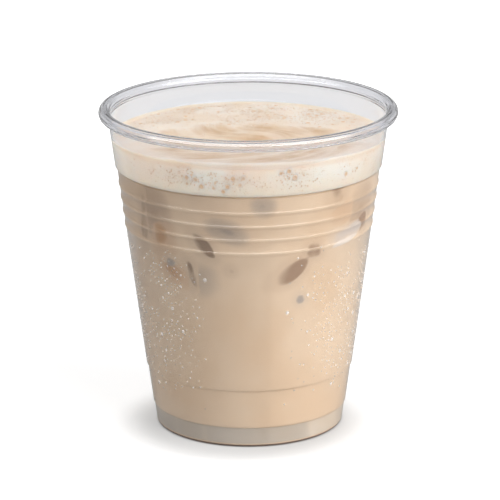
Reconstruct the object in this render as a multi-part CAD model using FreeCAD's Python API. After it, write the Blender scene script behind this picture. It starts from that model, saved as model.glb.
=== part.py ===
import FreeCAD, Part
import math
import os

# An iced latte in a clear thermoformed cup, in millimetres. Z is up and is the cup's axis, and the
# origin is the middle of the circle that the cup stands on. The front is towards -Y.
# The cup is one plastic sheet: a raised floor, a folded foot, a tapered wall with steps and four
# bead ribs, and an edge curled outwards. Milky coffee fills it to the shoulder, and froth lies on
# the coffee. Radii and heights are those of the sheet's outer face, unless a line says otherwise.

# The cup over all
cup_height = 107.6
rim_radius = 49.0
skirt_radius = 31.9
sheet = 0.5

# Curled edge, and the small step inwards under it that a lid snaps over
curl_radius = 1.9
curl_end_degrees = 230.0
neck_step = 0.44
neck_drop = 3.9
neck_rise = 0.4

# Shoulder and ribs, measured down from the top of the cup
shoulder_drop = 19.5
shoulder_step = 0.55
rib_count = 4
first_rib_drop = 25.2
rib_pitch = 4.6
rib_height = 1.2
rib_depth = 0.28

# Lower steps, measured up from the table
skirt_height = 6.8
skirt_step = 0.3
band_height = 20.1
band_step = 0.35
step_rise = 0.4

# Folded foot and raised floor. floor_height is the top of the sheet at the floor's edge, and the
# three rounds are the radii of the sheet's under face.
heel_round = 0.85
foot_width = 0.6
fold_round = 0.8
push_lean_degrees = 6.0
floor_height = 7.0
floor_round = 1.2
floor_dome = 0.8

# The drink and its froth
drink_gap = 0.05
froth_depth = 9.8
head_space = 9.7
froth_lean = 0.9
froth_swell = 0.35
froth_grid = 10

# Places that follow from the sizes above
curl_centre_radius = rim_radius - curl_radius
curl_centre_height = cup_height - curl_radius
mouth_radius = curl_centre_radius - curl_radius
neck_height = cup_height - neck_drop
shoulder_height = cup_height - shoulder_drop
froth_height = cup_height - head_space
drink_height = froth_height - froth_depth
steps = {skirt_height: skirt_step, band_height: band_step, shoulder_height: shoulder_step}

# Gain in radius for each millimetre of height, so that the wall meets the curled edge
wall_growth = mouth_radius + sheet + neck_step - skirt_radius - sum(steps.values())
draft = wall_growth / (curl_centre_height - skirt_height)

# Where the folded foot stands, so that its heel runs smoothly into the tapered wall
wall_lean = math.atan(draft)
heel_top = heel_round * (1 - math.sin(wall_lean))
foot_radius = skirt_radius - draft * (skirt_height - heel_top) - heel_round * math.cos(wall_lean)

# Where the floor turns down, so that one straight wall runs smoothly from the floor into the fold
push_lean = math.radians(push_lean_degrees)
fold_across = foot_radius - foot_width
bend_height = floor_height - sheet - floor_round
bend_apart = fold_round + floor_round + (bend_height - fold_round) * math.sin(push_lean)
bend_across = fold_across - bend_apart / math.cos(push_lean)


def point(radius, height):
    return FreeCAD.Vector(radius, 0, height)


def line(start, end):
    return Part.LineSegment(start, end).toShape()


def arc(start, middle, end):
    return Part.Arc(start, middle, end).toShape()


def round_edge(centre, radius, start, end):
    """An arc about a centre, from one angle to another. Angles turn from outwards to up."""
    spots = []
    for angle in (start, (start + end) / 2, end):
        spots.append(centre + point(radius * math.cos(angle), radius * math.sin(angle)))
    return arc(*spots)


def first_point(edge):
    return edge.valueAt(edge.FirstParameter)


def last_point(edge):
    return edge.valueAt(edge.LastParameter)


def wall_radius(height):
    """Radius of the tapered wall, without its ribs. A step counts once it has been passed."""
    passed = [size for start, size in steps.items() if height > start + step_rise / 2]
    return skirt_radius + draft * (height - skirt_height) + sum(passed)


def step_edge(height, inset):
    """One step of the wall in section, set in from the outer face."""
    top = height + step_rise
    return line(point(wall_radius(height) - inset, height), point(wall_radius(top) - inset, top))


def rib_edge(height, inset):
    """One bead rib of the wall in section, set in from the outer face."""
    low = height - rib_height / 2
    high = height + rib_height / 2
    crest = point(wall_radius(height) + rib_depth - inset, height)
    return arc(point(wall_radius(low) - inset, low), crest, point(wall_radius(high) - inset, high))


def wall_edges(start, inset):
    """The tapered wall in section, from start, on the heel, up to the neck."""
    features = [step_edge(height, inset) for height in steps]
    for number in range(rib_count):
        features.append(rib_edge(cup_height - first_rib_drop - number * rib_pitch, inset))
    features.sort(key=lambda edge: edge.CenterOfMass.z)
    edges = []
    for feature in features:
        edges.append(line(start, first_point(feature)))
        edges.append(feature)
        start = last_point(feature)
    edges.append(line(start, point(wall_radius(neck_height) - inset, neck_height)))
    return edges


def floor_edges(inset):
    """The raised floor, the push-up wall and the folded foot in section, from the axis outwards."""
    floor = floor_height - sheet + inset
    dome = point(bend_across / 2, floor + floor_dome * 0.75)
    bend = round_edge(point(bend_across, bend_height), floor_round + inset, math.pi / 2, push_lean)
    fold_centre = point(fold_across, fold_round)
    fold = round_edge(fold_centre, fold_round - inset, math.pi + push_lean, math.pi * 3 / 2)
    heel_centre = point(foot_radius, heel_round)
    heel = round_edge(heel_centre, heel_round - inset, -math.pi / 2, -wall_lean)
    return [
        arc(point(0, floor + floor_dome), dome, point(bend_across, floor)),
        bend,
        line(last_point(bend), first_point(fold)),
        fold,
        line(last_point(fold), first_point(heel)),
        heel,
    ]


def curl_edges():
    """The neck and the curled edge in section, from the wall's outer face round to its inner face."""
    begin = math.pi - wall_lean
    end = math.radians(curl_end_degrees) - 2 * math.pi
    centre = point(curl_centre_radius, curl_centre_height)
    hollow = round_edge(centre, curl_radius - sheet, begin, end)
    outside = round_edge(centre, curl_radius, end, begin)
    throat_height = neck_height + neck_rise
    throat_radius = mouth_radius - draft * (curl_centre_height - throat_height)
    return [
        line(point(wall_radius(neck_height), neck_height), point(throat_radius + sheet, throat_height)),
        line(point(throat_radius + sheet, throat_height), first_point(hollow)),
        hollow,
        line(last_point(hollow), first_point(outside)),
        outside,
        line(last_point(outside), point(throat_radius, throat_height)),
        line(point(throat_radius, throat_height), point(wall_radius(neck_height) - sheet, neck_height)),
    ]


def turned(edges):
    """The solid that a closed section makes when it is turned about the cup's axis."""
    section = Part.Face(Part.Wire(Part.__sortEdges__(edges)))
    return section.revolve(FreeCAD.Vector(0, 0, 0), FreeCAD.Vector(0, 0, 1), 360)


def sheet_face(inset):
    """One face of the sheet in section, from the middle of the floor up to the neck."""
    floor = floor_edges(inset)
    return floor + wall_edges(last_point(floor[-1]), inset)


def make_cup():
    axis = line(point(0, floor_height + floor_dome), point(0, floor_height - sheet + floor_dome))
    return turned([axis] + sheet_face(0) + curl_edges() + sheet_face(sheet))


def make_filling():
    """Everything that the cup could hold up to its neck, clear of the sheet by the drink's gap."""
    inset = sheet + drink_gap
    lid_end = point(wall_radius(neck_height) - inset, neck_height)
    lid = line(lid_end, point(0, neck_height))
    axis = line(point(0, neck_height), point(0, floor_height + drink_gap + floor_dome))
    return turned(sheet_face(inset) + [lid, axis])


def make_drink(filling):
    return filling.common(Part.makeCylinder(rim_radius, drink_height))


def froth_surface(x, y):
    """Height of the froth: it leans up towards the front and swells in a slow two-armed swirl."""
    reach = math.hypot(x, y) / mouth_radius
    turn = 2 * math.atan2(y, x) + 3 * reach
    return froth_height - froth_lean * y / mouth_radius + froth_swell * reach ** 2 * math.cos(turn)


def make_froth(filling):
    spots = [rim_radius * (2 * number / froth_grid - 1) for number in range(froth_grid + 1)]
    rows = [[FreeCAD.Vector(x, y, froth_surface(x, y)) for y in spots] for x in spots]
    surface = Part.BSplineSurface()
    surface.interpolate(rows)
    air = surface.toShape().extrude(FreeCAD.Vector(0, 0, cup_height))
    below = Part.makeCylinder(rim_radius, drink_height)
    return filling.cut(below).cut(air)


def main():
    filling = make_filling()
    solids = {"cup": make_cup(), "drink": make_drink(filling), "froth": make_froth(filling)}
    os.makedirs("parts", exist_ok=True)
    for name, shape in solids.items():
        shape = shape.removeSplitter()
        solid = shape.Solids[0] if len(shape.Solids) == 1 else shape
        print(name, solid.isValid(), len(shape.Solids), round(solid.Volume, 1), solid.BoundBox)
        solid.exportStep(f"parts/{name}.step")


main()
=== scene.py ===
import math
import bmesh
import bpy
from mathutils import Euler, Matrix, Vector, noise


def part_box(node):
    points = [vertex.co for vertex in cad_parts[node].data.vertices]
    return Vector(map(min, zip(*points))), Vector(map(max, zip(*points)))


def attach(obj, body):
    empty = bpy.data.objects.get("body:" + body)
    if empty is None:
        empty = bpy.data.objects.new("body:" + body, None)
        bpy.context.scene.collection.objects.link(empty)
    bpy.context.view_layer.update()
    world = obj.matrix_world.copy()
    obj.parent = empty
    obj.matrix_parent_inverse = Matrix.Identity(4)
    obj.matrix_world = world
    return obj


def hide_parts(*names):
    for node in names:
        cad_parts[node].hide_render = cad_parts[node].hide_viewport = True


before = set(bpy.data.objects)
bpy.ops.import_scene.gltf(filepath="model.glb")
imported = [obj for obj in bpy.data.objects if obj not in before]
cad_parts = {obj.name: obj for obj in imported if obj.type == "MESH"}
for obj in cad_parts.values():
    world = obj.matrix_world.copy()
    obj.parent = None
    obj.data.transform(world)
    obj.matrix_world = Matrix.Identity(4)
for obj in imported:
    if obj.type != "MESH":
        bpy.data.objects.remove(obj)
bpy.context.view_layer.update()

# ---------------------------------------------------------------------------------------------
# The view: a long lens in front of the cup, a little above the rim and tilted down, so that the top
# of the froth shows over the front of the edge.
view_distance = 0.960
view_height = 0.343
view_side = 0.00036
view_pitch = math.radians(73.47)
view_roll = math.radians(-0.24)
lens_length = 217.5

camera_data = bpy.data.cameras.new("front_view")
camera_data.lens = lens_length
camera_data.sensor_width = 36.0
camera = bpy.data.objects.new("front_view", camera_data)
bpy.context.scene.collection.objects.link(camera)
camera.matrix_world = (
    Matrix.Translation((view_side, -view_distance, view_height))
    @ Matrix.Rotation(view_pitch, 4, "X")
    @ Matrix.Rotation(view_roll, 4, "Z")
)
bpy.context.scene.camera = camera

# ---------------------------------------------------------------------------------------------
# The cup: one sheet of clear plastic, thermoformed. The floor is pushed up, the foot is folded, the
# wall is tapered with steps and four bead ribs, and the edge is curled outwards over a hollow.
cup_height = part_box("cup")[1].z
rim_radius = 0.0490
skirt_radius = 0.0319
sheet = 0.0005
curl_radius = 0.0019
curl_end = math.radians(230.0 - 360.0)
neck_step = 0.00044
neck_drop = 0.0039
neck_rise = 0.0004
shoulder_drop = 0.0195
shoulder_step = 0.00055
rib_count = 4
first_rib_drop = 0.0252
rib_pitch = 0.0046
rib_height = 0.0012
rib_depth = 0.00028
skirt_height = 0.0068
skirt_step = 0.0003
band_height = 0.0201
band_step = 0.00035
step_rise = 0.0004
heel_round = 0.00085
foot_width = 0.0006
fold_round = 0.0008
push_lean = math.radians(6.0)
floor_height = 0.0070
floor_round = 0.0012
floor_dome = 0.0008
cup_segments = 288
drink_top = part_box("drink")[1].z
rib_parts = 10
step_parts = 6
neck_parts = 8
floor_parts = 12
fold_parts = 8
hollow_parts = 36
curl_parts = 44
merge_distance = 1e-6
curl_rings = 10.0
ring_height = 0.00003
plastic_tint = (0.945, 0.950, 0.975, 1.0)
plastic_shadow_tint = (0.95, 0.95, 0.96, 1.0)
# A range is where a change starts and where it ends, then the values there if not 0 and 1.
dry_range = (drink_top - 0.001, drink_top + 0.002)

neck_height = cup_height - neck_drop
shoulder_height = cup_height - shoulder_drop
curl_across = rim_radius - curl_radius
curl_up = cup_height - curl_radius
mouth_radius = curl_across - curl_radius
steps = {skirt_height: skirt_step, band_height: band_step, shoulder_height: shoulder_step}
wall_growth = mouth_radius + sheet + neck_step - skirt_radius - sum(steps.values())
draft = wall_growth / (curl_up - skirt_height)
wall_lean = math.atan(draft)
heel_top = heel_round * (1 - math.sin(wall_lean))
foot_radius = skirt_radius - draft * (skirt_height - heel_top) - heel_round * math.cos(wall_lean)
fold_across = foot_radius - foot_width
bend_height = floor_height - sheet - floor_round
bend_apart = fold_round + floor_round + (bend_height - fold_round) * math.sin(push_lean)
bend_across = fold_across - bend_apart / math.cos(push_lean)


def wall_radius(height):
    """Radius of the wall's outer face without ribs. A step counts once it has been passed."""
    passed = [size for start, size in steps.items() if height > start + step_rise / 2]
    return skirt_radius + draft * (height - skirt_height) + sum(passed)


def bow(start, middle, end, count):
    """Points along the circular arc through three points, without the first one."""
    (ax, ay), (bx, by), (cx, cy) = start, middle, end
    twice = 2 * (ax * (by - cy) + bx * (cy - ay) + cx * (ay - by))
    a, b, c = ax * ax + ay * ay, bx * bx + by * by, cx * cx + cy * cy
    ux = (a * (by - cy) + b * (cy - ay) + c * (ay - by)) / twice
    uy = (a * (cx - bx) + b * (ax - cx) + c * (bx - ax)) / twice
    radius = math.hypot(ax - ux, ay - uy)
    first = math.atan2(ay - uy, ax - ux)
    turn_middle = (math.atan2(by - uy, bx - ux) - first) % (2 * math.pi)
    turn_end = (math.atan2(cy - uy, cx - ux) - first) % (2 * math.pi)
    if turn_middle > turn_end:
        turn_end -= 2 * math.pi
    angles = [first + turn_end * (step + 1) / count for step in range(count)]
    return [(ux + radius * math.cos(angle), uy + radius * math.sin(angle)) for angle in angles]


def round_points(across, up, radius, first, last, count):
    """Points along an arc about a centre, from one angle to another."""
    angles = [first + (last - first) * step / count for step in range(count + 1)]
    return [(across + radius * math.cos(angle), up + radius * math.sin(angle)) for angle in angles]


def rib_points(height, inset, depth):
    """A bead rib: one arc that stands proud of the wall."""
    low = height - rib_height / 2
    high = height + rib_height / 2
    start = (wall_radius(low) - inset, low)
    crest = (wall_radius(height) + depth - inset, height)
    return [start] + bow(start, crest, (wall_radius(high) - inset, high), rib_parts)


def eased(share):
    """A share from 0 to 1 that starts and ends gently, as drawn plastic bends."""
    return share * share * (3 - 2 * share)


def step_points(height, inset):
    """A step in the wall, eased at both ends."""
    points = []
    widening = wall_radius(height + step_rise) - wall_radius(height)
    for part in range(step_parts + 1):
        share = part / step_parts
        radius = wall_radius(height) + widening * eased(share)
        points.append((radius - inset, height + step_rise * share))
    return points


def floor_points(inset):
    """The floor, the push-up wall and the folded foot in section, from the axis outwards."""
    floor = floor_height - sheet + inset
    quarter = math.pi / 2
    points = [(0.0, floor + floor_dome)]
    half_way = (bend_across / 2, floor + floor_dome * 0.75)
    bend = (bend_across, bend_height, floor_round + inset)
    fold = (fold_across, fold_round, fold_round - inset)
    heel = (foot_radius, heel_round, heel_round - inset)
    points += bow(points[0], half_way, (bend_across, floor), floor_parts)
    points += round_points(*bend, quarter, push_lean, fold_parts)[1:]
    points += round_points(*fold, math.pi + push_lean, 3 * quarter, fold_parts)
    points += round_points(*heel, -quarter, -wall_lean, fold_parts)
    return points


def sheet_points(inset, depth=rib_depth):
    """One face of the sheet in section, from the middle of the floor up to the neck."""
    features = [step_points(height, inset) for height in steps]
    for rib in range(rib_count):
        features.append(rib_points(cup_height - first_rib_drop - rib * rib_pitch, inset, depth))
    features.sort(key=lambda feature: feature[0][1])
    points = floor_points(inset)
    for feature in features:
        points += feature
    return points + [(wall_radius(neck_height) - inset, neck_height)]


def neck_points(inset):
    """The small step inwards under the curled edge, eased at both ends."""
    low = neck_height - neck_rise
    high = neck_height + 2 * neck_rise
    points = []
    for part in range(neck_parts + 1):
        share = part / neck_parts
        at = low + (high - low) * share
        throat = mouth_radius + sheet - draft * (curl_up - at)
        points.append((wall_radius(at) + (throat - wall_radius(at)) * eased(share) - inset, at))
    return points


def cup_section():
    """The whole sheet in section: outer face, throat, hollow, curled edge, inner face."""
    begin = math.pi - wall_lean
    outside = sheet_points(0.0)[:-1] + neck_points(0.0)
    hollow = round_points(curl_across, curl_up, curl_radius - sheet, begin, curl_end, hollow_parts)
    curl = round_points(curl_across, curl_up, curl_radius, curl_end, begin, curl_parts)
    return outside + hollow + curl + neck_points(sheet)[::-1] + sheet_points(sheet)[-2::-1]


def new_tree(name, inputs):
    """A geometry node tree with a geometry coming in and going out, and named inputs."""
    tree = bpy.data.node_groups.new(name, "GeometryNodeTree")
    tree.is_modifier = True
    tree.interface.new_socket(name="Geometry", in_out="INPUT", socket_type="NodeSocketGeometry")
    tree.interface.new_socket(name="Geometry", in_out="OUTPUT", socket_type="NodeSocketGeometry")
    for socket_name, kind in inputs:
        tree.interface.new_socket(name=socket_name, in_out="INPUT", socket_type=kind)
    entry = tree.nodes.new("NodeGroupInput")
    leave = tree.nodes.new("NodeGroupOutput")
    return tree, entry, leave


def join(tree, source, target):
    tree.links.new(source, target)


def add(tree, kind, inputs=(), **settings):
    """A node with its settings, and its inputs set to numbers or joined to sockets by place."""
    node = tree.nodes.new(kind)
    for name, value in settings.items():
        setattr(node, name, value)
    for place, value in dict(inputs).items():
        if isinstance(value, bpy.types.NodeSocket):
            join(tree, value, node.inputs[place])
        else:
            node.inputs[place].default_value = value
    return node


def number(tree, operation, first, second=0.0):
    """One step of arithmetic in a node tree."""
    return add(tree, "ShaderNodeMath", {0: first, 1: second}, operation=operation).outputs[0]


def vector(tree, operation, first, second):
    """One step of arithmetic with vectors in a node tree."""
    return add(tree, "ShaderNodeVectorMath", {0: first, 1: second}, operation=operation).outputs[0]


def levelled(tree, place):
    """A place brought down to the table, so that its length is its distance from the axis."""
    return vector(tree, "MULTIPLY", place, (1.0, 1.0, 0.0))


def length_of(tree, place):
    return add(tree, "ShaderNodeVectorMath", {0: place}, operation="LENGTH").outputs["Value"]


def finish_tree(tree, geometry, material, leave):
    """The end of every tree: real geometry with its material."""
    real = add(tree, "GeometryNodeRealizeInstances", {"Geometry": geometry})
    painted = add(tree, "GeometryNodeSetMaterial", {"Geometry": real.outputs[0], "Material": material})
    join(tree, painted.outputs[0], leave.inputs[0])


def sampled(tree, geometry, value, index, kind="FLOAT"):
    """The value that a geometry has at the point of that index."""
    inputs = {"Geometry": geometry, "Value": value, "Index": index}
    return add(tree, "GeometryNodeSampleIndex", inputs, data_type=kind, domain="POINT").outputs["Value"]


def turning_tree():
    """Turns a section, drawn in the XZ plane from axis to axis, into a closed round body."""
    inputs = [("Segments", "NodeSocketInt"), ("Material", "NodeSocketMaterial")]
    tree, entry, leave = new_tree("turned_on_the_axis", inputs)
    segments = entry.outputs["Segments"]
    count = add(tree, "GeometryNodeAttributeDomainSize", {"Geometry": entry.outputs["Geometry"]})
    around = number(tree, "ADD", segments, 1.0)
    sizes = {"Size X": 1.0, "Size Y": 1.0, "Vertices X": count.outputs["Point Count"], "Vertices Y": around}
    grid = add(tree, "GeometryNodeMeshGrid", sizes)
    index = add(tree, "GeometryNodeInputIndex").outputs[0]
    along = number(tree, "FLOOR", number(tree, "DIVIDE", index, around))
    turn = number(tree, "MODULO", index, around)
    angle = number(tree, "MULTIPLY", number(tree, "DIVIDE", turn, segments), 2 * math.pi)
    place = add(tree, "GeometryNodeInputPosition").outputs[0]
    corner = sampled(tree, entry.outputs["Geometry"], place, along, "FLOAT_VECTOR")
    split = add(tree, "ShaderNodeSeparateXYZ", {0: corner})
    across = number(tree, "MULTIPLY", split.outputs["X"], number(tree, "COSINE", angle))
    deep = number(tree, "MULTIPLY", split.outputs["X"], number(tree, "SINE", angle))
    spot = add(tree, "ShaderNodeCombineXYZ", {"X": across, "Y": deep, "Z": split.outputs["Z"]})
    spots = {"Geometry": grid.outputs["Mesh"], "Position": spot.outputs[0]}
    moved = add(tree, "GeometryNodeSetPosition", spots).outputs[0]
    closed = add(tree, "GeometryNodeMergeByDistance", {"Geometry": moved, "Distance": merge_distance})
    smooth = add(tree, "GeometryNodeSetShadeSmooth", {"Geometry": closed.outputs[0]})
    finish_tree(tree, smooth.outputs[0], entry.outputs["Material"], leave)
    return tree


def chain_object(name, section):
    """A bare chain of edges along a section, which a tree then turns into a body."""
    mesh = bpy.data.meshes.new(name)
    corners = [(radius, 0.0, height) for radius, height in section]
    mesh.from_pydata(corners, [(at, at + 1) for at in range(len(corners) - 1)], [])
    chain = bpy.data.objects.new(name, mesh)
    bpy.context.scene.collection.objects.link(chain)
    return chain


def grown(piece, tree, values, outward=True):
    """Runs a tree on a piece and keeps the result as the piece's own plain mesh."""
    modifier = piece.modifiers.new("grow", "NODES")
    modifier.node_group = tree
    for item in tree.interface.items_tree:
        if item.item_type == "SOCKET" and item.in_out == "INPUT" and item.name in values:
            modifier[item.identifier] = values[item.name]
    bpy.context.view_layer.update()
    ready = piece.evaluated_get(bpy.context.evaluated_depsgraph_get())
    mesh = bpy.data.meshes.new_from_object(ready)
    piece.modifiers.remove(modifier)
    piece.data = mesh
    mesh.name = piece.name
    if outward:
        shape = bmesh.new()
        shape.from_mesh(mesh)
        bmesh.ops.recalc_face_normals(shape, faces=shape.faces)
        shape.to_mesh(mesh)
        shape.free()
    return piece


def new_material(name):
    material = bpy.data.materials.new(name)
    material.use_nodes = True
    tree = material.node_tree
    return material, tree, tree.nodes["Principled BSDF"]


def ramp(tree, value, start, end, low=0.0, high=1.0):
    """A smooth change from low to high while value goes from start to end."""
    values = {0: value, 1: start, 2: end, 3: low, 4: high}
    return add(tree, "ShaderNodeMapRange", values, interpolation_type="SMOOTHSTEP").outputs[0]


def let_light_through(tree, shader, tint, solid=1.0, soft=0.0):
    """A clear piece passes a lamp's light straight on, and the share soft of light from all round."""
    path = add(tree, "ShaderNodeLightPath")
    all_round = number(tree, "MULTIPLY", path.outputs["Is Diffuse Ray"], soft)
    passing = number(tree, "MAXIMUM", path.outputs["Is Shadow Ray"], all_round)
    shown = number(tree, "MULTIPLY", number(tree, "SUBTRACT", 1.0, passing), solid)
    clear = add(tree, "ShaderNodeBsdfTransparent", {"Color": tint})
    mix = add(tree, "ShaderNodeMixShader", {0: shown, 1: clear.outputs[0], 2: shader.outputs[0]})
    join(tree, mix.outputs[0], tree.nodes["Material Output"].inputs["Surface"])


def cloud_group():
    """Soft clouds through a body, from one value to another. Drink, froth, ice and drops use them."""
    tree = bpy.data.node_groups.new("clouds", "ShaderNodeTree")
    tree.interface.new_socket(name="Vector", in_out="INPUT", socket_type="NodeSocketVector")
    for name in ("Scale", "Detail", "Start", "End", "Low", "High"):
        tree.interface.new_socket(name=name, in_out="INPUT", socket_type="NodeSocketFloat")
    tree.interface.new_socket(name="Value", in_out="OUTPUT", socket_type="NodeSocketFloat")
    entry = tree.nodes.new("NodeGroupInput").outputs
    leave = tree.nodes.new("NodeGroupOutput")
    sizes = {"Vector": entry["Vector"], "Scale": entry["Scale"], "Detail": entry["Detail"]}
    noisy = add(tree, "ShaderNodeTexNoise", sizes).outputs[0]
    value = ramp(tree, noisy, entry["Start"], entry["End"], entry["Low"], entry["High"])
    join(tree, value, leave.inputs["Value"])
    return tree


def clouds_in(tree, place, scale, detail, start, end, low=0.0, high=1.0):
    """The shared clouds, at the size and strength that one material needs."""
    values = {"Vector": place, "Scale": scale, "Detail": detail, "Start": start, "End": end}
    values.update({"Low": low, "High": high})
    return add(tree, "ShaderNodeGroup", values, node_tree=clouds).outputs["Value"]


def clear_plastic():
    """Clear drawn sheet: a faint cool tint, slight upright waves, and rings round the curled edge."""
    material, tree, shader = new_material("clear_plastic")
    shader.inputs["Base Color"].default_value = plastic_tint
    shader.inputs["Transmission Weight"].default_value = 0.96
    shader.inputs["IOR"].default_value = 1.46
    place = add(tree, "ShaderNodeTexCoord").outputs["Object"]
    stretched = add(tree, "ShaderNodeMapping", {"Vector": place, "Scale": (1.0, 1.0, 0.12)})
    waves = add(tree, "ShaderNodeTexNoise", {"Vector": stretched.outputs[0], "Scale": 90.0, "Detail": 2.0})
    height = add(tree, "ShaderNodeSeparateXYZ", {0: place}).outputs["Z"]
    out = number(tree, "SUBTRACT", length_of(tree, levelled(tree, place)), curl_across)
    up = number(tree, "SUBTRACT", height, curl_up)
    round_curl = number(tree, "ARCTAN2", up, out)
    rings = number(tree, "SINE", number(tree, "MULTIPLY", round_curl, curl_rings))
    on_curl = number(tree, "GREATER_THAN", height, neck_height)
    ringed = number(tree, "MULTIPLY", rings, on_curl)
    ridges = add(tree, "ShaderNodeBump", {"Strength": 1.0, "Distance": ring_height, "Height": ringed})
    bump = add(tree, "ShaderNodeBump", {"Strength": 0.03, "Distance": 0.0004, "Height": waves.outputs[0]})
    join(tree, ridges.outputs[0], bump.inputs["Normal"])
    join(tree, bump.outputs[0], shader.inputs["Normal"])
    rough = add(tree, "ShaderNodeMapRange", {0: waves.outputs[0], 3: 0.0, 4: 0.03})
    join(tree, rough.outputs[0], shader.inputs["Roughness"])
    let_light_through(tree, shader, plastic_shadow_tint, 1.0, ramp(tree, height, *dry_range))
    return material


turning = turning_tree()
clouds = cloud_group()
cup = chain_object("clear_cup", cup_section())
grown(cup, turning, {"Segments": cup_segments, "Material": clear_plastic()})
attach(cup, "root")
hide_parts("cup")

# ---------------------------------------------------------------------------------------------
# The ice: half-melted blocks sunk in the drink, mostly in its upper half where they float. Each is
# clear ice with soft edges, and lies against the cup's wall or a little way behind it.
# The last number of a shade is how far it spreads as a haze in the drink.
grey_ice = (0.34, 0.29, 0.26, 0.50)
grey_chip = (0.38, 0.34, 0.32, 0.10)
brown_ice = (0.34, 0.195, 0.11, 0.12)
dark_ice = (0.22, 0.12, 0.06, 0.12)
pale_ice = (0.72, 0.65, 0.60, 0.15)
white_ice = (0.92, 0.85, 0.78, 0.0)
amber_ice = (0.60, 0.33, 0.15, 0.30)
brown_haze = (0.42, 0.27, 0.17, 0.42)
ice_clear = (0.80, 0.80, 0.82, 1.0)
ice_veined = (0.96, 0.96, 0.97, 1.0)
ice_shadow_tint = (0.9, 0.9, 0.9, 1.0)
ice_fineness = 4
face_flatness = 5.5
haze_rounding = 7.0
dent_scale = 1.6
dent_depth = 0.06
ice_blocks = [
    # turn round the cup, height, space to the wall, half sizes along, into and up, tilt, squareness
    # of its outline (2 is oval, less is pointed), and shade
    (6.4, 0.0852, 0.0004, (0.0048, 0.0050, 0.0036), (0, 0, 0), 2.2, grey_ice),
    (-10.0, 0.0765, 0.0003, (0.0100, 0.0050, 0.0046), (0, 20, 0), 2.2, grey_ice),
    (-18.0, 0.0860, 0.0009, (0.0075, 0.0050, 0.0050), (0, 20, 0), 2.4, brown_ice),
    (-21.4, 0.0716, -0.0001, (0.0072, 0.0050, 0.0030), (0, 46, -7), 1.6, dark_ice),
    (-39.2, 0.0632, 0.0001, (0.0021, 0.0030, 0.0021), (0, 0, 0), 2.0, grey_chip),
    (-37.0, 0.0602, 0.0002, (0.0080, 0.0050, 0.0036), (0, 25, 0), 2.2, amber_ice),
    (-43.0, 0.0720, 0.0001, (0.0060, 0.0050, 0.0080), (0, 0, 4), 3.0, amber_ice),
    (-27.8, 0.0608, 0.0001, (0.0016, 0.0050, 0.0060), (0, -16, 0), 1.8, dark_ice),
    (-23.0, 0.0590, 0.0012, (0.0100, 0.0050, 0.0085), (0, 0, 0), 2.2, grey_ice),
    (-8.3, 0.0629, 0.0004, (0.0013, 0.0030, 0.0012), (0, 0, 0), 2.0, brown_ice),
    (31.1, 0.0682, 0.0002, (0.0034, 0.0040, 0.0032), (0, 10, 0), 2.6, brown_ice),
    (52.0, 0.0716, 0.0000, (0.0105, 0.0050, 0.0032), (0, -8, 0), 3.0, pale_ice),
    (50.0, 0.0690, -0.0001, (0.0070, 0.0030, 0.0006), (0, -8, 0), 2.2, white_ice),
    (63.0, 0.0735, -0.0001, (0.0040, 0.0050, 0.0040), (0, -20, 0), 2.6, brown_ice),
    (60.0, 0.0780, 0.0004, (0.0095, 0.0050, 0.0110), (0, 10, 0), 2.6, brown_haze),
    (41.0, 0.0860, 0.0003, (0.0050, 0.0050, 0.0046), (0, 30, 0), 2.4, brown_ice),
    (47.0, 0.0795, 0.0006, (0.0060, 0.0050, 0.0044), (0, 10, 0), 2.4, amber_ice),
    (18.6, 0.0612, -0.0001, (0.0096, 0.0050, 0.0040), (0, -31, -5), 1.6, brown_ice),
    (25.5, 0.0519, 0.0001, (0.0016, 0.0030, 0.0016), (0, 0, 0), 2.0, grey_chip),
    (-54.0, 0.0765, 0.0003, (0.0028, 0.0050, 0.0120), (0, 10, 0), 2.6, brown_ice),
    (-47.0, 0.0790, 0.0004, (0.0090, 0.0050, 0.0110), (0, 0, 0), 2.6, brown_haze),
    (-76.0, 0.0700, 0.0006, (0.0090, 0.0080, 0.0080), (0, 20, 0), 3.0, pale_ice),
    (-100.0, 0.0790, 0.0003, (0.0080, 0.0080, 0.0045), (0, 35, 0), 3.4, brown_ice),
    (-118.0, 0.0640, 0.0001, (0.0085, 0.0080, 0.0036), (0, -30, 0), 2.8, brown_ice),
    (-139.0, 0.0770, 0.0008, (0.0090, 0.0080, 0.0060), (0, 10, 0), 3.0, grey_ice),
    (-160.0, 0.0610, 0.0002, (0.0070, 0.0070, 0.0040), (0, 40, 0), 3.2, amber_ice),
    (176.0, 0.0770, 0.0001, (0.0080, 0.0080, 0.0050), (0, -20, 0), 3.4, brown_ice),
    (152.0, 0.0670, 0.0008, (0.0090, 0.0080, 0.0050), (0, 15, 0), 3.0, pale_ice),
    (131.0, 0.0790, 0.0003, (0.0065, 0.0080, 0.0055), (0, 30, 0), 3.0, grey_ice),
    (112.0, 0.0620, 0.0001, (0.0080, 0.0080, 0.0038), (0, -35, 0), 3.0, brown_ice),
    (90.0, 0.0780, 0.0005, (0.0080, 0.0080, 0.0060), (0, 20, 0), 3.0, amber_ice),
]


def outward_from(turn):
    """Direction from the axis out to a place on the wall, turned clockwise from the front."""
    angle = math.radians(turn)
    return Vector((math.sin(angle), -math.cos(angle), 0.0))


def melted(direction, halves, squareness, haze, seed):
    """A point on a melted block, dented a little. The hazier it is, the rounder its face."""
    flatness = face_flatness - haze_rounding * haze
    outline = (abs(direction.x) ** squareness + abs(direction.z) ** squareness) ** (1.0 / squareness)
    power = (outline ** flatness + abs(direction.y) ** flatness) ** (-1.0 / flatness)
    point = Vector([c * power * half for c, half in zip(direction, halves)])
    dent = noise.noise(direction * dent_scale + Vector((seed * 3.1, seed, 0.0)))
    return point * (1.0 + dent_depth * dent)


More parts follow.
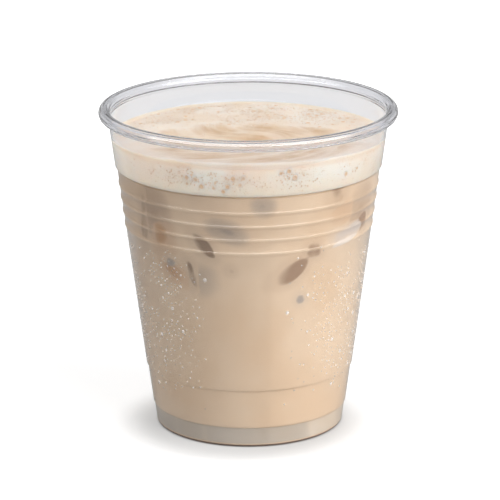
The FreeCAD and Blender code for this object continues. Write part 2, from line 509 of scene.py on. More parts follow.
def ice_mesh():
    """All blocks as one mesh. Each has melted to the curve of the wall that it lies behind."""
    whole = bmesh.new()
    shade_layer = whole.verts.layers.float_color.new("shade")
    for seed, (turn, height, space, halves, tilt, squareness, shade) in enumerate(ice_blocks):
        made = bmesh.ops.create_icosphere(whole, subdivisions=ice_fineness, radius=1.0)["verts"]
        lean = Euler([math.radians(angle) for angle in tilt]).to_matrix()
        spots = {}
        for vertex in made:
            spots[vertex] = lean @ melted(vertex.co.normalized(), halves, squareness, shade[3], seed)
        nearest = min(spot.y for spot in spots.values())
        for vertex, spot in spots.items():
            at = height + spot.z
            away = wall_radius(at) - sheet - space - (spot.y - nearest)
            out = outward_from(turn + math.degrees(spot.x / wall_radius(height)))
            vertex.co = out * away + Vector((0.0, 0.0, at))
            vertex[shade_layer] = shade
    mesh = bpy.data.meshes.new("ice")
    whole.to_mesh(mesh)
    whole.free()
    for face in mesh.polygons:
        face.use_smooth = True
    return mesh


def blend_colours(tree, share, first, second, how="MIX"):
    """A colour between two others, each given as four numbers or as a socket."""
    mix = add(tree, "ShaderNodeMix", {0: share, 6: first, 7: second}, data_type="RGBA", blend_type=how)
    return mix.outputs[2]


def ice_material():
    """Clear ice with cloudy veins, wetted by the drink."""
    material, tree, shader = new_material("ice")
    place = add(tree, "ShaderNodeTexCoord").outputs["Object"]
    veins = clouds_in(tree, place, 240.0, 4.0, 0.30, 0.70)
    join(tree, blend_colours(tree, veins, ice_clear, ice_veined), shader.inputs["Base Color"])
    shader.inputs["Transmission Weight"].default_value = 0.85
    shader.inputs["IOR"].default_value = 1.31
    shader.inputs["Roughness"].default_value = 0.12
    let_light_through(tree, shader, ice_shadow_tint)
    return material


ice = bpy.data.objects.new("ice", ice_mesh())
bpy.context.scene.collection.objects.link(ice)
ice.data.materials.append(ice_material())
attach(ice, "root")

# ---------------------------------------------------------------------------------------------
# The drink: milky coffee that wets the whole inside of the cup, down into the folded foot. It is
# opaque but for a thin skin, so ice that lies close to the wall shows through as soft patches.
wall_reach = 0.00018
drink_rows = 0.0008
drink_segments = 330
milk_coffee = (0.87, 0.695, 0.51, 1.0)
milk_coffee_deep = (0.83, 0.635, 0.44, 1.0)
upper_tint = (0.90, 0.885, 0.865, 1.0)
brim_tint = (0.84, 0.77, 0.70, 1.0)
# Greys of the folded foot, brighter in painted light patches, and a painted shadow for its lowest edge
fold_dim = (0.76, 0.84, 0.96, 1.0)
fold_painted_light = (0.92, 1.01, 1.14, 1.0)
fold_painted_shadow = (0.30, 0.20, 0.14, 1.0)
# Gaps between the ice and the wall over which ice tints the milk, and over which it shows itself
veil_range = (0.0030, 0.0006)
window_range = (0.00080, 0.00030, 0.0, 0.75)
# Heights over which the drink greys near the ribs, has its line at the brim, and changes in the foot, down
# to a painted shadow line at its lowest edge
upper_range = (0.055, 0.078)
brim_range = (drink_top - 0.0008, drink_top - 0.0003)
fold_range = (skirt_height + 0.0003, skirt_height - 0.0001)
low_rim_range = (0.0013, 0.0010)
painted_shadow_range = (0.0009, 0.0007)


def evenly(points, longest):
    """The same section with its long stretches divided."""
    result = [points[0]]
    for (ax, az), (bx, bz) in zip(points, points[1:]):
        parts = max(1, math.ceil(math.hypot(bx - ax, bz - az) / longest))
        for part in range(1, parts + 1):
            result.append((ax + (bx - ax) * part / parts, az + (bz - az) * part / parts))
    return result


def filling_section(low, high, closed_low):
    """What fills the cup between two heights, reaching just into the sheet and half into its ribs."""
    face = sheet_points(sheet - wall_reach, rib_depth / 2)
    wall = [spot for spot in face if spot[1] < high and (closed_low or spot[1] > low)]
    rim = (wall_radius(high) - sheet + wall_reach, high)
    if closed_low:
        return evenly(wall + [rim], drink_rows) + [(rim[0] * 0.5, high), (0.0, high)]
    start = (wall_radius(low) - sheet + wall_reach, low)
    return [(0.0, low), (start[0] * 0.5, low), start] + evenly(wall + [rim], drink_rows)


def turned_body(tree, entry):
    """The section that came into a tree, turned on the axis."""
    inputs = {"Geometry": entry.outputs["Geometry"], "Segments": entry.outputs["Segments"]}
    return add(tree, "GeometryNodeGroup", inputs, node_tree=turning).outputs[0]


def note(tree, geometry, name, value, kind="FLOAT"):
    """Stores a value under a name at every point of a geometry."""
    inputs = {"Geometry": geometry, "Name": name, "Value": value}
    return add(tree, "GeometryNodeStoreNamedAttribute", inputs, data_type=kind, domain="POINT").outputs[0]


def noted(tree, name, kind="FLOAT"):
    """The value that was stored under a name."""
    return add(tree, "GeometryNodeInputNamedAttribute", {"Name": name}, data_type=kind).outputs["Attribute"]


def drink_tree():
    """A turned body that notes, all over, how near the ice lies and how it looks there."""
    inputs = [("Segments", "NodeSocketInt"), ("Ice", "NodeSocketObject")]
    inputs += [("Material", "NodeSocketMaterial")]
    tree, entry, leave = new_tree("drink_over_ice", inputs)
    block = {"Object": entry.outputs["Ice"]}
    frozen = add(tree, "GeometryNodeObjectInfo", block, transform_space="RELATIVE").outputs["Geometry"]
    near = add(tree, "GeometryNodeProximity", {0: frozen}, target_element="FACES")
    nearest = {"Mesh": frozen, "Value": noted(tree, "shade", "FLOAT_COLOR")}
    sample = add(tree, "GeometryNodeSampleNearestSurface", nearest, data_type="FLOAT_COLOR")
    body = note(tree, turned_body(tree, entry), "ice_gap", near.outputs["Distance"])
    body = note(tree, body, "ice_shade", sample.outputs["Value"], "FLOAT_COLOR")
    finish_tree(tree, body, entry.outputs["Material"], leave)
    return tree


def drink_material():
    """Milk with coffee: even, a touch deeper in slow clouds, thinner and greyer in the folded foot, with
    painted light patches there and a painted shadow along its lowest edge.
    """
    material, tree, shader = new_material("milk_coffee")
    place = add(tree, "ShaderNodeTexCoord").outputs["Object"]
    height = add(tree, "ShaderNodeSeparateXYZ", {0: place}).outputs["Z"]
    deeper = clouds_in(tree, place, 42.0, 3.0, 0.35, 0.68)
    milk = blend_colours(tree, deeper, milk_coffee, milk_coffee_deep)
    gap = add(tree, "ShaderNodeAttribute", attribute_name="ice_gap").outputs["Fac"]
    ice_look = add(tree, "ShaderNodeAttribute", attribute_name="ice_shade")
    shade = ice_look.outputs["Color"]
    veil = number(tree, "MULTIPLY", ramp(tree, gap, *veil_range), ice_look.outputs["Alpha"])
    misted = blend_colours(tree, veil, milk, shade)
    seen = blend_colours(tree, ramp(tree, gap, *window_range), misted, shade)
    strong = blend_colours(tree, ramp(tree, height, *upper_range), seen, upper_tint, "MULTIPLY")
    lined = blend_colours(tree, ramp(tree, height, *brim_range), strong, brim_tint, "MULTIPLY")
    # Painted light: pale upright patches round the folded foot stand in for lamp light caught in the fold.
    painted_light_panes = clouds_in(tree, levelled(tree, place), 48.0, 1.0, 0.49, 0.53)
    folded = blend_colours(tree, painted_light_panes, fold_dim, fold_painted_light)
    grey = blend_colours(tree, 1.0, lined, folded, "MULTIPLY")
    # Painted shadow: the drink darkens to a dark line along its lowest edge, where the foot meets the
    # table.
    lowest = blend_colours(tree, ramp(tree, height, *painted_shadow_range), milk_coffee_deep, fold_painted_shadow)
    strip = blend_colours(tree, ramp(tree, height, *low_rim_range), grey, lowest)
    final = blend_colours(tree, ramp(tree, height, *fold_range), lined, strip)
    join(tree, final, shader.inputs["Base Color"])
    shader.inputs["Roughness"].default_value = 0.5
    shader.inputs["Specular IOR Level"].default_value = 0.1
    return material


drink = chain_object("milky_coffee", filling_section(0.0, drink_top, True))
drink_values = {"Segments": drink_segments, "Ice": ice, "Material": drink_material()}
grown(drink, drink_tree(), drink_values)
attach(drink, "root")
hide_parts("drink")

# ---------------------------------------------------------------------------------------------
# The froth: milk foam that rides on the drink and clings to the wall. Its top leans and swells a
# little, with a toffee swirl where coffee came through, and large burst bubbles leave craters.
head_space = 0.0097
froth_height = cup_height - head_space
froth_lean = 0.0009
froth_swell = 0.00035
froth_segments = 540
froth_rows = 0.0005
froth_cling = 0.0005
froth_cling_width = 0.0016
lump_height = 0.0005
cream = (0.93, 0.79, 0.655, 1.0)
cream_pale = (0.96, 0.875, 0.78, 1.0)
cream_foot = (0.93, 0.765, 0.60, 1.0)
toffee = (0.71, 0.51, 0.34, 1.0)
toffee_deep = (0.61, 0.40, 0.24, 1.0)
toffee_everywhere = 0.28
swirl_turn = 55.0
swirl_middle = (-0.0030, 0.0135, 0.0)
swirl_bend = (0.034, 0.030, 0.0)
swirl_range = (0.0360, 0.0230)
stained_range = (drink_top + 0.0070, drink_top + 0.0005, 0.0, 0.7)
# How crowded the bubbles are: to the back of the top, away from the wall and up the side
crowd_back = (0.004, 0.026, 0.05, 1.0)
crowd_inside = (mouth_radius - 0.0012, mouth_radius - 0.003)
crowd_low = (drink_top + 0.0010, drink_top + 0.0046)
crowd_high = (froth_height - 0.0004, froth_height - 0.0022)
crowd_right = (0.026, 0.010, 0.22, 1.0)
crowd_left = (-0.036, -0.023, 0.12, 1.0)
crowd_patches = (0.38, 0.60, 0.24, 0.90)
mostly_small = 2.2
crater_bowl = (1.25, 0.55)
crater_depth = 0.75
pins_per_metre = 1500.0
big_bubbles = {"Density": 400000.0, "Apart": 0.0019, "Least": 0.00028, "Most": 0.00090, "Seed": 7}
small_bubbles = {"Density": 2700000.0, "Apart": 0.00044, "Least": 0.00010, "Most": 0.00026, "Seed": 11}


def froth_section():
    """The froth in section: flat below, along the wall, and over the top back to the axis."""
    under = filling_section(drink_top, froth_height, False)
    side = [spot for spot in under if spot[0] > 0.0 and spot[1] <= froth_height]
    edge = side[-1][0]
    rows = math.ceil(edge / froth_rows)
    top = [(edge * (1.0 - row / rows), froth_height) for row in range(1, rows + 1)]
    return [(0.0, drink_top)] + side + top


def swirl_group():
    """Where the toffee swirl shows on the froth's top, from 0 to 1, and the height of its ridges."""
    tree = bpy.data.node_groups.new("toffee_swirl", "GeometryNodeTree")
    tree.interface.new_socket(name="Swirl", in_out="OUTPUT", socket_type="NodeSocketFloat")
    tree.interface.new_socket(name="Ridges", in_out="OUTPUT", socket_type="NodeSocketFloat")
    leave = tree.nodes.new("NodeGroupOutput")
    place = add(tree, "GeometryNodeInputPosition").outputs[0]
    flat = levelled(tree, place)
    reach = length_of(tree, flat)
    turn = {"Vector": flat, "Angle": number(tree, "MULTIPLY", reach, swirl_turn)}
    spun = add(tree, "ShaderNodeVectorRotate", turn, rotation_type="Z_AXIS").outputs[0]
    drawn = vector(tree, "MULTIPLY", spun, (1.0, 2.6, 1.0))
    streaky = {"Vector": drawn, "Scale": 48.0, "Detail": 4.0, "Distortion": 0.6}
    streaks = add(tree, "ShaderNodeTexNoise", streaky).outputs[0]
    warp = add(tree, "ShaderNodeTexNoise", {"Vector": flat, "Scale": 42.0, "Detail": 3.0})
    bent = vector(tree, "SUBTRACT", warp.outputs["Color"], (0.5, 0.5, 0.5))
    bent = vector(tree, "MULTIPLY", bent, swirl_bend)
    shifted = vector(tree, "ADD", vector(tree, "ADD", flat, bent), swirl_middle)
    away = length_of(tree, vector(tree, "MULTIPLY", shifted, (0.84, 1.0, 0.0)))
    patch = ramp(tree, away, *swirl_range)
    edge = ramp(tree, reach, mouth_radius - 0.0016, mouth_radius - 0.0042)
    parts = ramp(tree, streaks, 0.34, 0.60, 0.45, 1.0)
    swirl = number(tree, "MULTIPLY", number(tree, "MULTIPLY", patch, parts), edge)
    swirl = number(tree, "MAXIMUM", swirl, toffee_everywhere)
    join(tree, swirl, leave.inputs["Swirl"])
    join(tree, streaks, leave.inputs["Ridges"])
    return tree


def scattered(tree, surface, apart, density, wanted, seed):
    """Random places on a surface, no two nearer than apart, thinned to the share wanted."""
    inputs = {"Mesh": surface, "Distance Min": apart, "Density Max": density}
    inputs.update({"Density Factor": wanted, "Seed": seed})
    return add(tree, "GeometryNodeDistributePointsOnFaces", inputs, distribute_method="POISSON")


def random_radius(tree, least, most, power, seed):
    """A radius between two limits. The higher the power, the more of them are small."""
    chance = add(tree, "FunctionNodeRandomValue", {"Seed": seed}, data_type="FLOAT")
    skewed = number(tree, "POWER", chance.outputs[1], power)
    return add(tree, "ShaderNodeMapRange", {0: skewed, 3: least, 4: most}).outputs[0]


def bubble_sites_group():
    """Points on a froth's surface where bubbles of one size range lie, with their radius."""
    tree = bpy.data.node_groups.new("bubble_sites", "GeometryNodeTree")
    kinds = {"Geometry": "Geometry", "Density": "Float", "Apart": "Float", "Least": "Float"}
    kinds.update({"Most": "Float", "Seed": "Int"})
    for name, kind in kinds.items():
        tree.interface.new_socket(name=name, in_out="INPUT", socket_type="NodeSocket" + kind)
    tree.interface.new_socket(name="Points", in_out="OUTPUT", socket_type="NodeSocketGeometry")
    entry = tree.nodes.new("NodeGroupInput").outputs
    leave = tree.nodes.new("NodeGroupOutput")
    place = add(tree, "GeometryNodeInputPosition").outputs[0]
    split = add(tree, "ShaderNodeSeparateXYZ", {0: place}).outputs
    normal = add(tree, "GeometryNodeInputNormal").outputs[0]
    facing = add(tree, "ShaderNodeSeparateXYZ", {0: normal}).outputs["Z"]
    reach = length_of(tree, levelled(tree, place))
    patches = add(tree, "ShaderNodeTexNoise", {"Vector": place, "Scale": 95.0, "Detail": 1.0}).outputs[0]
    top = number(tree, "MULTIPLY", ramp(tree, split["Y"], *crowd_back), ramp(tree, reach, *crowd_inside))
    top = number(tree, "MULTIPLY", top, ramp(tree, facing, 0.6, 0.9))
    side = number(tree, "MULTIPLY", ramp(tree, split["Z"], *crowd_low), ramp(tree, split["Z"], *crowd_high))
    side = number(tree, "MULTIPLY", side, ramp(tree, facing, 0.3, 0.1))
    right = ramp(tree, split["X"], *crowd_right)
    left = ramp(tree, split["X"], *crowd_left)
    side = number(tree, "MULTIPLY", side, number(tree, "MULTIPLY", right, left))
    crowd = ramp(tree, patches, *crowd_patches)
    wanted = number(tree, "MULTIPLY", number(tree, "ADD", top, side), crowd)
    spread = scattered(tree, entry["Geometry"], entry["Apart"], entry["Density"], wanted, entry["Seed"])
    radius = random_radius(tree, entry["Least"], entry["Most"], mostly_small, entry["Seed"])
    points = note(tree, spread.outputs["Points"], "bubble_radius", radius)
    points = note(tree, points, "bubble_normal", spread.outputs["Normal"], "FLOAT_VECTOR")
    join(tree, points, leave.inputs["Points"])
    return tree


def froth_shape_tree():
    """The froth's body: turned, then its top leaned, swelled, lumped and clinging to the wall."""
    inputs = [("Segments", "NodeSocketInt"), ("Lump Height", "NodeSocketFloat")]
    inputs += [("Cling", "NodeSocketFloat"), ("Material", "NodeSocketMaterial")]
    tree, entry, leave = new_tree("froth_shape", inputs)
    body = turned_body(tree, entry)
    place = add(tree, "GeometryNodeInputPosition").outputs[0]
    split = add(tree, "ShaderNodeSeparateXYZ", {0: place}).outputs
    reach = length_of(tree, levelled(tree, place))
    share = number(tree, "DIVIDE", reach, mouth_radius)
    angle = number(tree, "ARCTAN2", split["Y"], split["X"])
    phase = number(tree, "ADD", number(tree, "MULTIPLY", angle, 2.0), number(tree, "MULTIPLY", share, 3.0))
    swell = number(tree, "MULTIPLY", number(tree, "COSINE", phase), number(tree, "MULTIPLY", share, share))
    lean = number(tree, "MULTIPLY", split["Y"], froth_lean / mouth_radius)
    rise = number(tree, "SUBTRACT", number(tree, "MULTIPLY", swell, froth_swell), lean)
    lumps = add(tree, "ShaderNodeTexNoise", {"Vector": place, "Scale": 85.0, "Detail": 3.0}).outputs[0]
    swirl = add(tree, "GeometryNodeGroup", node_tree=swirl_group())
    bumps = number(tree, "ADD", number(tree, "MULTIPLY", lumps, 1.4), swirl.outputs["Ridges"])
    bumps = number(tree, "SUBTRACT", bumps, 1.3)
    lump = number(tree, "MULTIPLY", bumps, entry.outputs["Lump Height"])
    edge = wall_radius(froth_height) - sheet + wall_reach
    loose = ramp(tree, reach, edge - 0.0002, edge - 0.003)
    rise = number(tree, "ADD", rise, number(tree, "MULTIPLY", lump, loose))
    hold = ramp(tree, reach, edge - froth_cling_width, edge, 0.0, 1.0)
    rise = number(tree, "ADD", rise, number(tree, "MULTIPLY", hold, entry.outputs["Cling"]))
    depth = froth_height - drink_top
    height = number(tree, "SUBTRACT", split["Z"], drink_top)
    lifted = number(tree, "MULTIPLY", rise, number(tree, "DIVIDE", height, depth))
    shift = add(tree, "ShaderNodeCombineXYZ", {"Z": lifted}).outputs[0]
    shaped = add(tree, "GeometryNodeSetPosition", {"Geometry": body, "Offset": shift}).outputs[0]
    on_top = ramp(tree, height, depth - 0.0012, depth - 0.0004)
    mark = number(tree, "MULTIPLY", swirl.outputs["Swirl"], on_top)
    finish_tree(tree, note(tree, shaped, "toffee", mark), entry.outputs["Material"], leave)
    return tree


def froth_crater_tree():
    """Presses a bowl into the froth at each large bubble."""
    inputs = [(name, "NodeSocketFloat") for name in ("Density", "Apart", "Least", "Most")]
    inputs += [("Seed", "NodeSocketInt"), ("Material", "NodeSocketMaterial")]
    tree, entry, leave = new_tree("froth_craters", inputs)
    names = ("Geometry", "Density", "Apart", "Least", "Most", "Seed")
    sites = {name: entry.outputs[name] for name in names}
    points = add(tree, "GeometryNodeGroup", sites, node_tree=bubble_sites).outputs["Points"]
    place = add(tree, "GeometryNodeInputPosition").outputs[0]
    nearest = add(tree, "GeometryNodeSampleNearest", {"Geometry": points}, domain="POINT").outputs[0]
    centre = sampled(tree, points, place, nearest, "FLOAT_VECTOR")
    radius = sampled(tree, points, noted(tree, "bubble_radius"), nearest)
    gap = add(tree, "ShaderNodeVectorMath", {0: place, 1: centre}, operation="DISTANCE").outputs["Value"]
    bowl = ramp(tree, number(tree, "DIVIDE", gap, radius), *crater_bowl)
    depth = number(tree, "MULTIPLY", number(tree, "MULTIPLY", bowl, radius), -crater_depth)
    normal = add(tree, "GeometryNodeInputNormal").outputs[0]
    shift = add(tree, "ShaderNodeVectorMath", {0: normal, "Scale": depth}, operation="SCALE").outputs[0]
    moved = {"Geometry": entry.outputs["Geometry"], "Offset": shift}
    pressed = add(tree, "GeometryNodeSetPosition", moved).outputs[0]
    finish_tree(tree, pressed, entry.outputs["Material"], leave)
    return tree


def froth_material():
    """Cream foam with a pale skin, toffee where the coffee came through, and pin-sized bubbles."""
    material, tree, shader = new_material("milk_froth")
    place = add(tree, "ShaderNodeTexCoord").outputs["Object"]
    milk = blend_colours(tree, clouds_in(tree, place, 70.0, 4.0, 0.40, 0.66), cream, cream_pale)
    height = add(tree, "ShaderNodeSeparateXYZ", {0: place}).outputs["Z"]
    milk = blend_colours(tree, ramp(tree, height, *stained_range), milk, cream_foot)
    caramel = blend_colours(tree, clouds_in(tree, place, 130.0, 4.0, 0.38, 0.66), toffee, toffee_deep)
    mark = add(tree, "ShaderNodeAttribute", attribute_name="toffee").outputs["Fac"]
    swirled = blend_colours(tree, mark, milk, caramel)
    pins = add(tree, "ShaderNodeTexVoronoi", {"Vector": place, "Scale": pins_per_metre})
    pin = ramp(tree, pins.outputs["Distance"], 0.32, 0.12)
    pin = number(tree, "MULTIPLY", pin, clouds_in(tree, place, 160.0, 2.0, 0.50, 0.64))
    pin = number(tree, "MULTIPLY", pin, ramp(tree, mark, 0.8, 0.4))
    final = blend_colours(tree, number(tree, "MULTIPLY", pin, 0.6), swirled, toffee_deep)
    join(tree, final, shader.inputs["Base Color"])
    grain = add(tree, "ShaderNodeTexNoise", {"Vector": place, "Scale": 1400.0, "Detail": 2.0}).outputs[0]
    uneven = number(tree, "SUBTRACT", grain, number(tree, "MULTIPLY", pin, 1.5))
    bump = add(tree, "ShaderNodeBump", {"Strength": 0.5, "Distance": 0.0002, "Height": uneven})
    join(tree, bump.outputs[0], shader.inputs["Normal"])
    shader.inputs["Roughness"].default_value = 0.65
    shader.inputs["Specular IOR Level"].default_value = 0.2
    shader.inputs["Subsurface Weight"].default_value = 1.0
    shader.inputs["Subsurface Radius"].default_value = (1.0, 0.85, 0.70)
    shader.inputs["Subsurface Scale"].default_value = 0.0025
    return material


bubble_sites = bubble_sites_group()
froth_look = froth_material()
froth = chain_object("milk_froth", froth_section())
froth_values = {"Segments": froth_segments, "Lump Height": lump_height, "Cling": froth_cling}
grown(froth, froth_shape_tree(), {**froth_values, "Material": froth_look})
smooth_froth = froth.data.copy()
grown(froth, froth_crater_tree(), {**big_bubbles, "Material": froth_look})
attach(froth, "root")
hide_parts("froth")

# ---------------------------------------------------------------------------------------------
# The froth's bubbles: small burst ones, each a shallow dish with a soft lip and a brown bowl. They
# crowd at the back of the top and in patches along the side, where they lie against the wall.
dish_segments = 8
dish_lifts = (0.04, 0.26)
bubble_brown = (0.74, 0.47, 0.26, 1.0)
bubble_rings = [
    # radius and height, for a bubble of radius 1, with how brown it is there
    (1.22, -0.30, 0.0),
    (1.12, 0.03, 0.1),
    (0.93, 0.02, 0.8),
    (0.60, -0.20, 1.0),
]


def dish_object():
    """One burst bubble of radius 1, closed below."""
    shape = bmesh.new()
    brown_layer = shape.verts.layers.float.new("brown")
    rings = []
    for radius, height, brown in bubble_rings:
        ring = []
        for corner in range(dish_segments):
            angle = 2 * math.pi * corner / dish_segments
            vertex = shape.verts.new((radius * math.cos(angle), radius * math.sin(angle), height))
            vertex[brown_layer] = brown
            ring.append(vertex)
        rings.append(ring)
    for low, high in zip(rings, rings[1:]):
        for at in range(dish_segments):
            after = (at + 1) % dish_segments
            shape.faces.new((low[at], low[after], high[after], high[at]))
    shape.faces.new(rings[-1])
    shape.faces.new(rings[0][::-1])
    mesh = bpy.data.meshes.new("one_bubble")
    shape.to_mesh(mesh)
    shape.free()
    return bpy.data.objects.new("one_bubble", mesh)


def bubble_tree():
    """Sets a dish at each site of both size ranges: small ones proud, large ones in their craters."""
    inputs = [("Dish", "NodeSocketObject"), ("Material", "NodeSocketMaterial")]
    ranges = ("Big", "Small")
    kinds = [(name, "Float") for name in ("Density", "Apart", "Least", "Most")] + [("Seed", "Int")]
    for size in ranges:
        inputs += [(size + " " + name, "NodeSocket" + kind) for name, kind in kinds]
    tree, entry, leave = new_tree("froth_bubbles", inputs)
    dish = add(tree, "GeometryNodeObjectInfo", {"Object": entry.outputs["Dish"]}).outputs["Geometry"]
    both = add(tree, "GeometryNodeJoinGeometry")
    for size, lift in zip(ranges, dish_lifts):
        sites = {name: entry.outputs[size + " " + name] for name, kind in kinds}
        sites["Geometry"] = entry.outputs["Geometry"]
        points = add(tree, "GeometryNodeGroup", sites, node_tree=bubble_sites).outputs["Points"]
        radius = noted(tree, "bubble_radius")
        along = noted(tree, "bubble_normal", "FLOAT_VECTOR")
        turned = add(tree, "FunctionNodeAlignRotationToVector", {"Vector": along}, axis="Z").outputs[0]
        scale = add(tree, "ShaderNodeCombineXYZ", {"X": radius, "Y": radius, "Z": radius}).outputs[0]
        lifted = {0: along, "Scale": number(tree, "MULTIPLY", radius, lift)}
        shift = add(tree, "ShaderNodeVectorMath", lifted, operation="SCALE").outputs[0]
        moved = add(tree, "GeometryNodeSetPosition", {"Geometry": points, "Offset": shift}).outputs[0]
        placing = {"Points": moved, "Instance": dish, "Rotation": turned, "Scale": scale}
        join(tree, add(tree, "GeometryNodeInstanceOnPoints", placing).outputs[0], both.inputs[0])
    smooth = add(tree, "GeometryNodeSetShadeSmooth", {"Geometry": both.outputs[0]})
    finish_tree(tree, smooth.outputs[0], entry.outputs["Material"], leave)
    return tree


def bubble_material():
    """Foam at the lip, brown in the bowl, some bubbles deeper than others."""
    material, tree, shader = new_material("burst_bubbles")
    place = add(tree, "ShaderNodeTexCoord").outputs["Object"]
    brown = add(tree, "ShaderNodeAttribute", attribute_name="brown").outputs["Fac"]
    share = number(tree, "MULTIPLY", brown, clouds_in(tree, place, 300.0, 2.0, 0.35, 0.65, 0.70, 1.0))
    join(tree, blend_colours(tree, share, cream, bubble_brown), shader.inputs["Base Color"])
    shader.inputs["Roughness"].default_value = 0.4
    shader.inputs["Specular IOR Level"].default_value = 0.3
    return material


bubble_values = {"Dish": dish_object(), "Material": bubble_material()}
for range_name, bubble_range in (("Big", big_bubbles), ("Small", small_bubbles)):
    bubble_values.update({range_name + " " + name: value for name, value in bubble_range.items()})
bubbles = bpy.data.objects.new("froth_bubbles", smooth_froth)
bpy.context.scene.collection.objects.link(bubbles)
grown(bubbles, bubble_tree(), bubble_values, outward=False)
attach(bubbles, "root")

# ---------------------------------------------------------------------------------------------
# Water drops that have condensed on the cold wall, up to the lowest rib: a thousand or so fine ones,
# and some larger. They are thickest at both sides, and the front is nearly clear.
drop_columns = 7
drop_rows = 3
drop_seed = 23
drop_rise = 0.42
drop_sink = 0.08
drop_sag = 1.25
wet_low = 0.0220
wet_high = 0.0705
wet_fade = 0.012
wet_bottom = wet_low - 0.014
wet_row = 0.0013
wet_rows = 51
wet_columns = 144
water_tint = (0.97, 0.95, 0.92, 1.0)
fine_drops = {"Density": 1150000.0, "Apart": 0.0011, "Least": 0.00019, "Most": 0.00036}
large_drops = {"Density": 60000.0, "Apart": 0.0036, "Least": 0.0004, "Most": 0.0008}
# How crowded the drops are: to both sides of the front, less at the very sides, and up the wall
wet_sides = (0.008, 0.030, 0.005, 1.0)
wet_edges = (0.031, 0.038, 0.75, 0.40)
wet_from = (wet_bottom, wet_low + wet_fade)
wet_to = (wet_high, wet_high - wet_fade)
wet_patches = (0.38, 0.62, 0.35, 1.0)


def drop_object():
    """One drop of radius 1: a low dome that sags to its lower end and reaches into the wall."""
    shape = bmesh.new()
    bmesh.ops.create_uvsphere(shape, u_segments=drop_columns, v_segments=drop_rows * 2, radius=1.0)
    for vertex in shape.verts:
        vertex.co.z *= drop_rise if vertex.co.z > 0.0 else drop_sink
        vertex.co.y *= 1.0 if vertex.co.y < 0.0 else drop_sag
    mesh = bpy.data.meshes.new("one_drop")
    shape.to_mesh(mesh)
    shape.free()
    return bpy.data.objects.new("one_drop", mesh)


def drop_tree():
    """Scatters drops of two size ranges on a strip of the wall's outer face."""
    inputs = [("Drop", "NodeSocketObject"), ("Material", "NodeSocketMaterial"), ("Seed", "NodeSocketInt")]
    ranges = ("Fine", "Large")
    for size in ranges:
        inputs += [(size + " " + name, "NodeSocketFloat") for name in fine_drops]
    tree, entry, leave = new_tree("condensed_drops", inputs)
    drop = add(tree, "GeometryNodeObjectInfo", {"Object": entry.outputs["Drop"]}).outputs["Geometry"]
    place = add(tree, "GeometryNodeInputPosition").outputs[0]
    split = add(tree, "ShaderNodeSeparateXYZ", {0: place}).outputs
    across = number(tree, "ABSOLUTE", split["X"])
    sides = number(tree, "MULTIPLY", ramp(tree, across, *wet_sides), ramp(tree, across, *wet_edges))
    level = number(tree, "MULTIPLY", ramp(tree, split["Z"], *wet_from), ramp(tree, split["Z"], *wet_to))
    patches = add(tree, "ShaderNodeTexNoise", {"Vector": place, "Scale": 60.0, "Detail": 2.0}).outputs[0]
    wanted = number(tree, "MULTIPLY", level, sides)
    wanted = number(tree, "MULTIPLY", wanted, ramp(tree, patches, *wet_patches))
    both = add(tree, "GeometryNodeJoinGeometry")
    seed = entry.outputs["Seed"]
    for size in ranges:
        apart, density, least, most = [
            entry.outputs[size + " " + name] for name in ("Apart", "Density", "Least", "Most")
        ]
        spread = scattered(tree, entry.outputs["Geometry"], apart, density, wanted, seed)
        radius = random_radius(tree, least, most, 2.0, seed)
        upright = {0: spread.outputs["Normal"], 1: (0.0, 0.0, -1.0)}
        axes = {"primary_axis": "Z", "secondary_axis": "Y"}
        turned = add(tree, "FunctionNodeAxesToRotation", upright, **axes).outputs[0]
        scale = add(tree, "ShaderNodeCombineXYZ", {"X": radius, "Y": radius, "Z": radius}).outputs[0]
        placing = {"Points": spread.outputs["Points"], "Instance": drop, "Rotation": turned, "Scale": scale}
        join(tree, add(tree, "GeometryNodeInstanceOnPoints", placing).outputs[0], both.inputs[0])
    smooth = add(tree, "GeometryNodeSetShadeSmooth", {"Geometry": both.outputs[0]})
    finish_tree(tree, smooth.outputs[0], entry.outputs["Material"], leave)
    return tree


def wet_strip():
    """The part of the wall's outer face that drops can form on, as a bare mesh."""
    shape = bmesh.new()
    angles = [2 * math.pi * step / wet_columns for step in range(wet_columns)]
    rings = []
    for row in range(wet_rows):
        height = wet_bottom + wet_row * row
        radius = wall_radius(height)
        spots = [(radius * math.cos(angle), radius * math.sin(angle), height) for angle in angles]
        rings.append([shape.verts.new(spot) for spot in spots])
    for low, high in zip(rings, rings[1:]):
        for at in range(wet_columns):
            after = (at + 1) % wet_columns
            shape.faces.new((low[at], low[after], high[after], high[at]))
    mesh = bpy.data.meshes.new("wet_strip")
    shape.to_mesh(mesh)
    shape.free()
    return mesh


def water_material():
    """Clouded water: more than half of what lies behind shows through, under a wet sheen."""
    material, tree, shader = new_material("water")
    place = add(tree, "ShaderNodeTexCoord").outputs["Object"]
    join(tree, clouds_in(tree, place, 500.0, 2.0, 0.3, 0.7, 0.14, 0.28), shader.inputs["Roughness"])
    shader.inputs["Base Color"].default_value = water_tint
    shader.inputs["IOR"].default_value = 1.33
    clouded = clouds_in(tree, place, 500.0, 2.0, 0.35, 0.65, 0.28, 0.48)
    let_light_through(tree, shader, (1.0, 1.0, 1.0, 1.0), clouded, 1.0)
    return material


drop_values = {"Drop": drop_object(), "Material": water_material(), "Seed": drop_seed}
drop_values.update({"Fine " + name: value for name, value in fine_drops.items()})
drop_values.update({"Large " + name: value for name, value in large_drops.items()})
drops = bpy.data.objects.new("water_drops", wet_strip())
bpy.context.scene.collection.objects.link(drops)
grown(drops, drop_tree(), drop_values)
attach(drops, "root")

# ---------------------------------------------------------------------------------------------
# The studio: a white table with a painted shadow round the foot, a large soft lamp from the front
# right, and pale surroundings that the clear plastic mirrors and bends.
table_white = 0.56
table_in_mirrors = 0.46
table_glow_near = 0.24
table_glow_beyond = 0.60
table_glow_far = 1.0
table_glow_in_clear = 0.42
table_half = 3.0
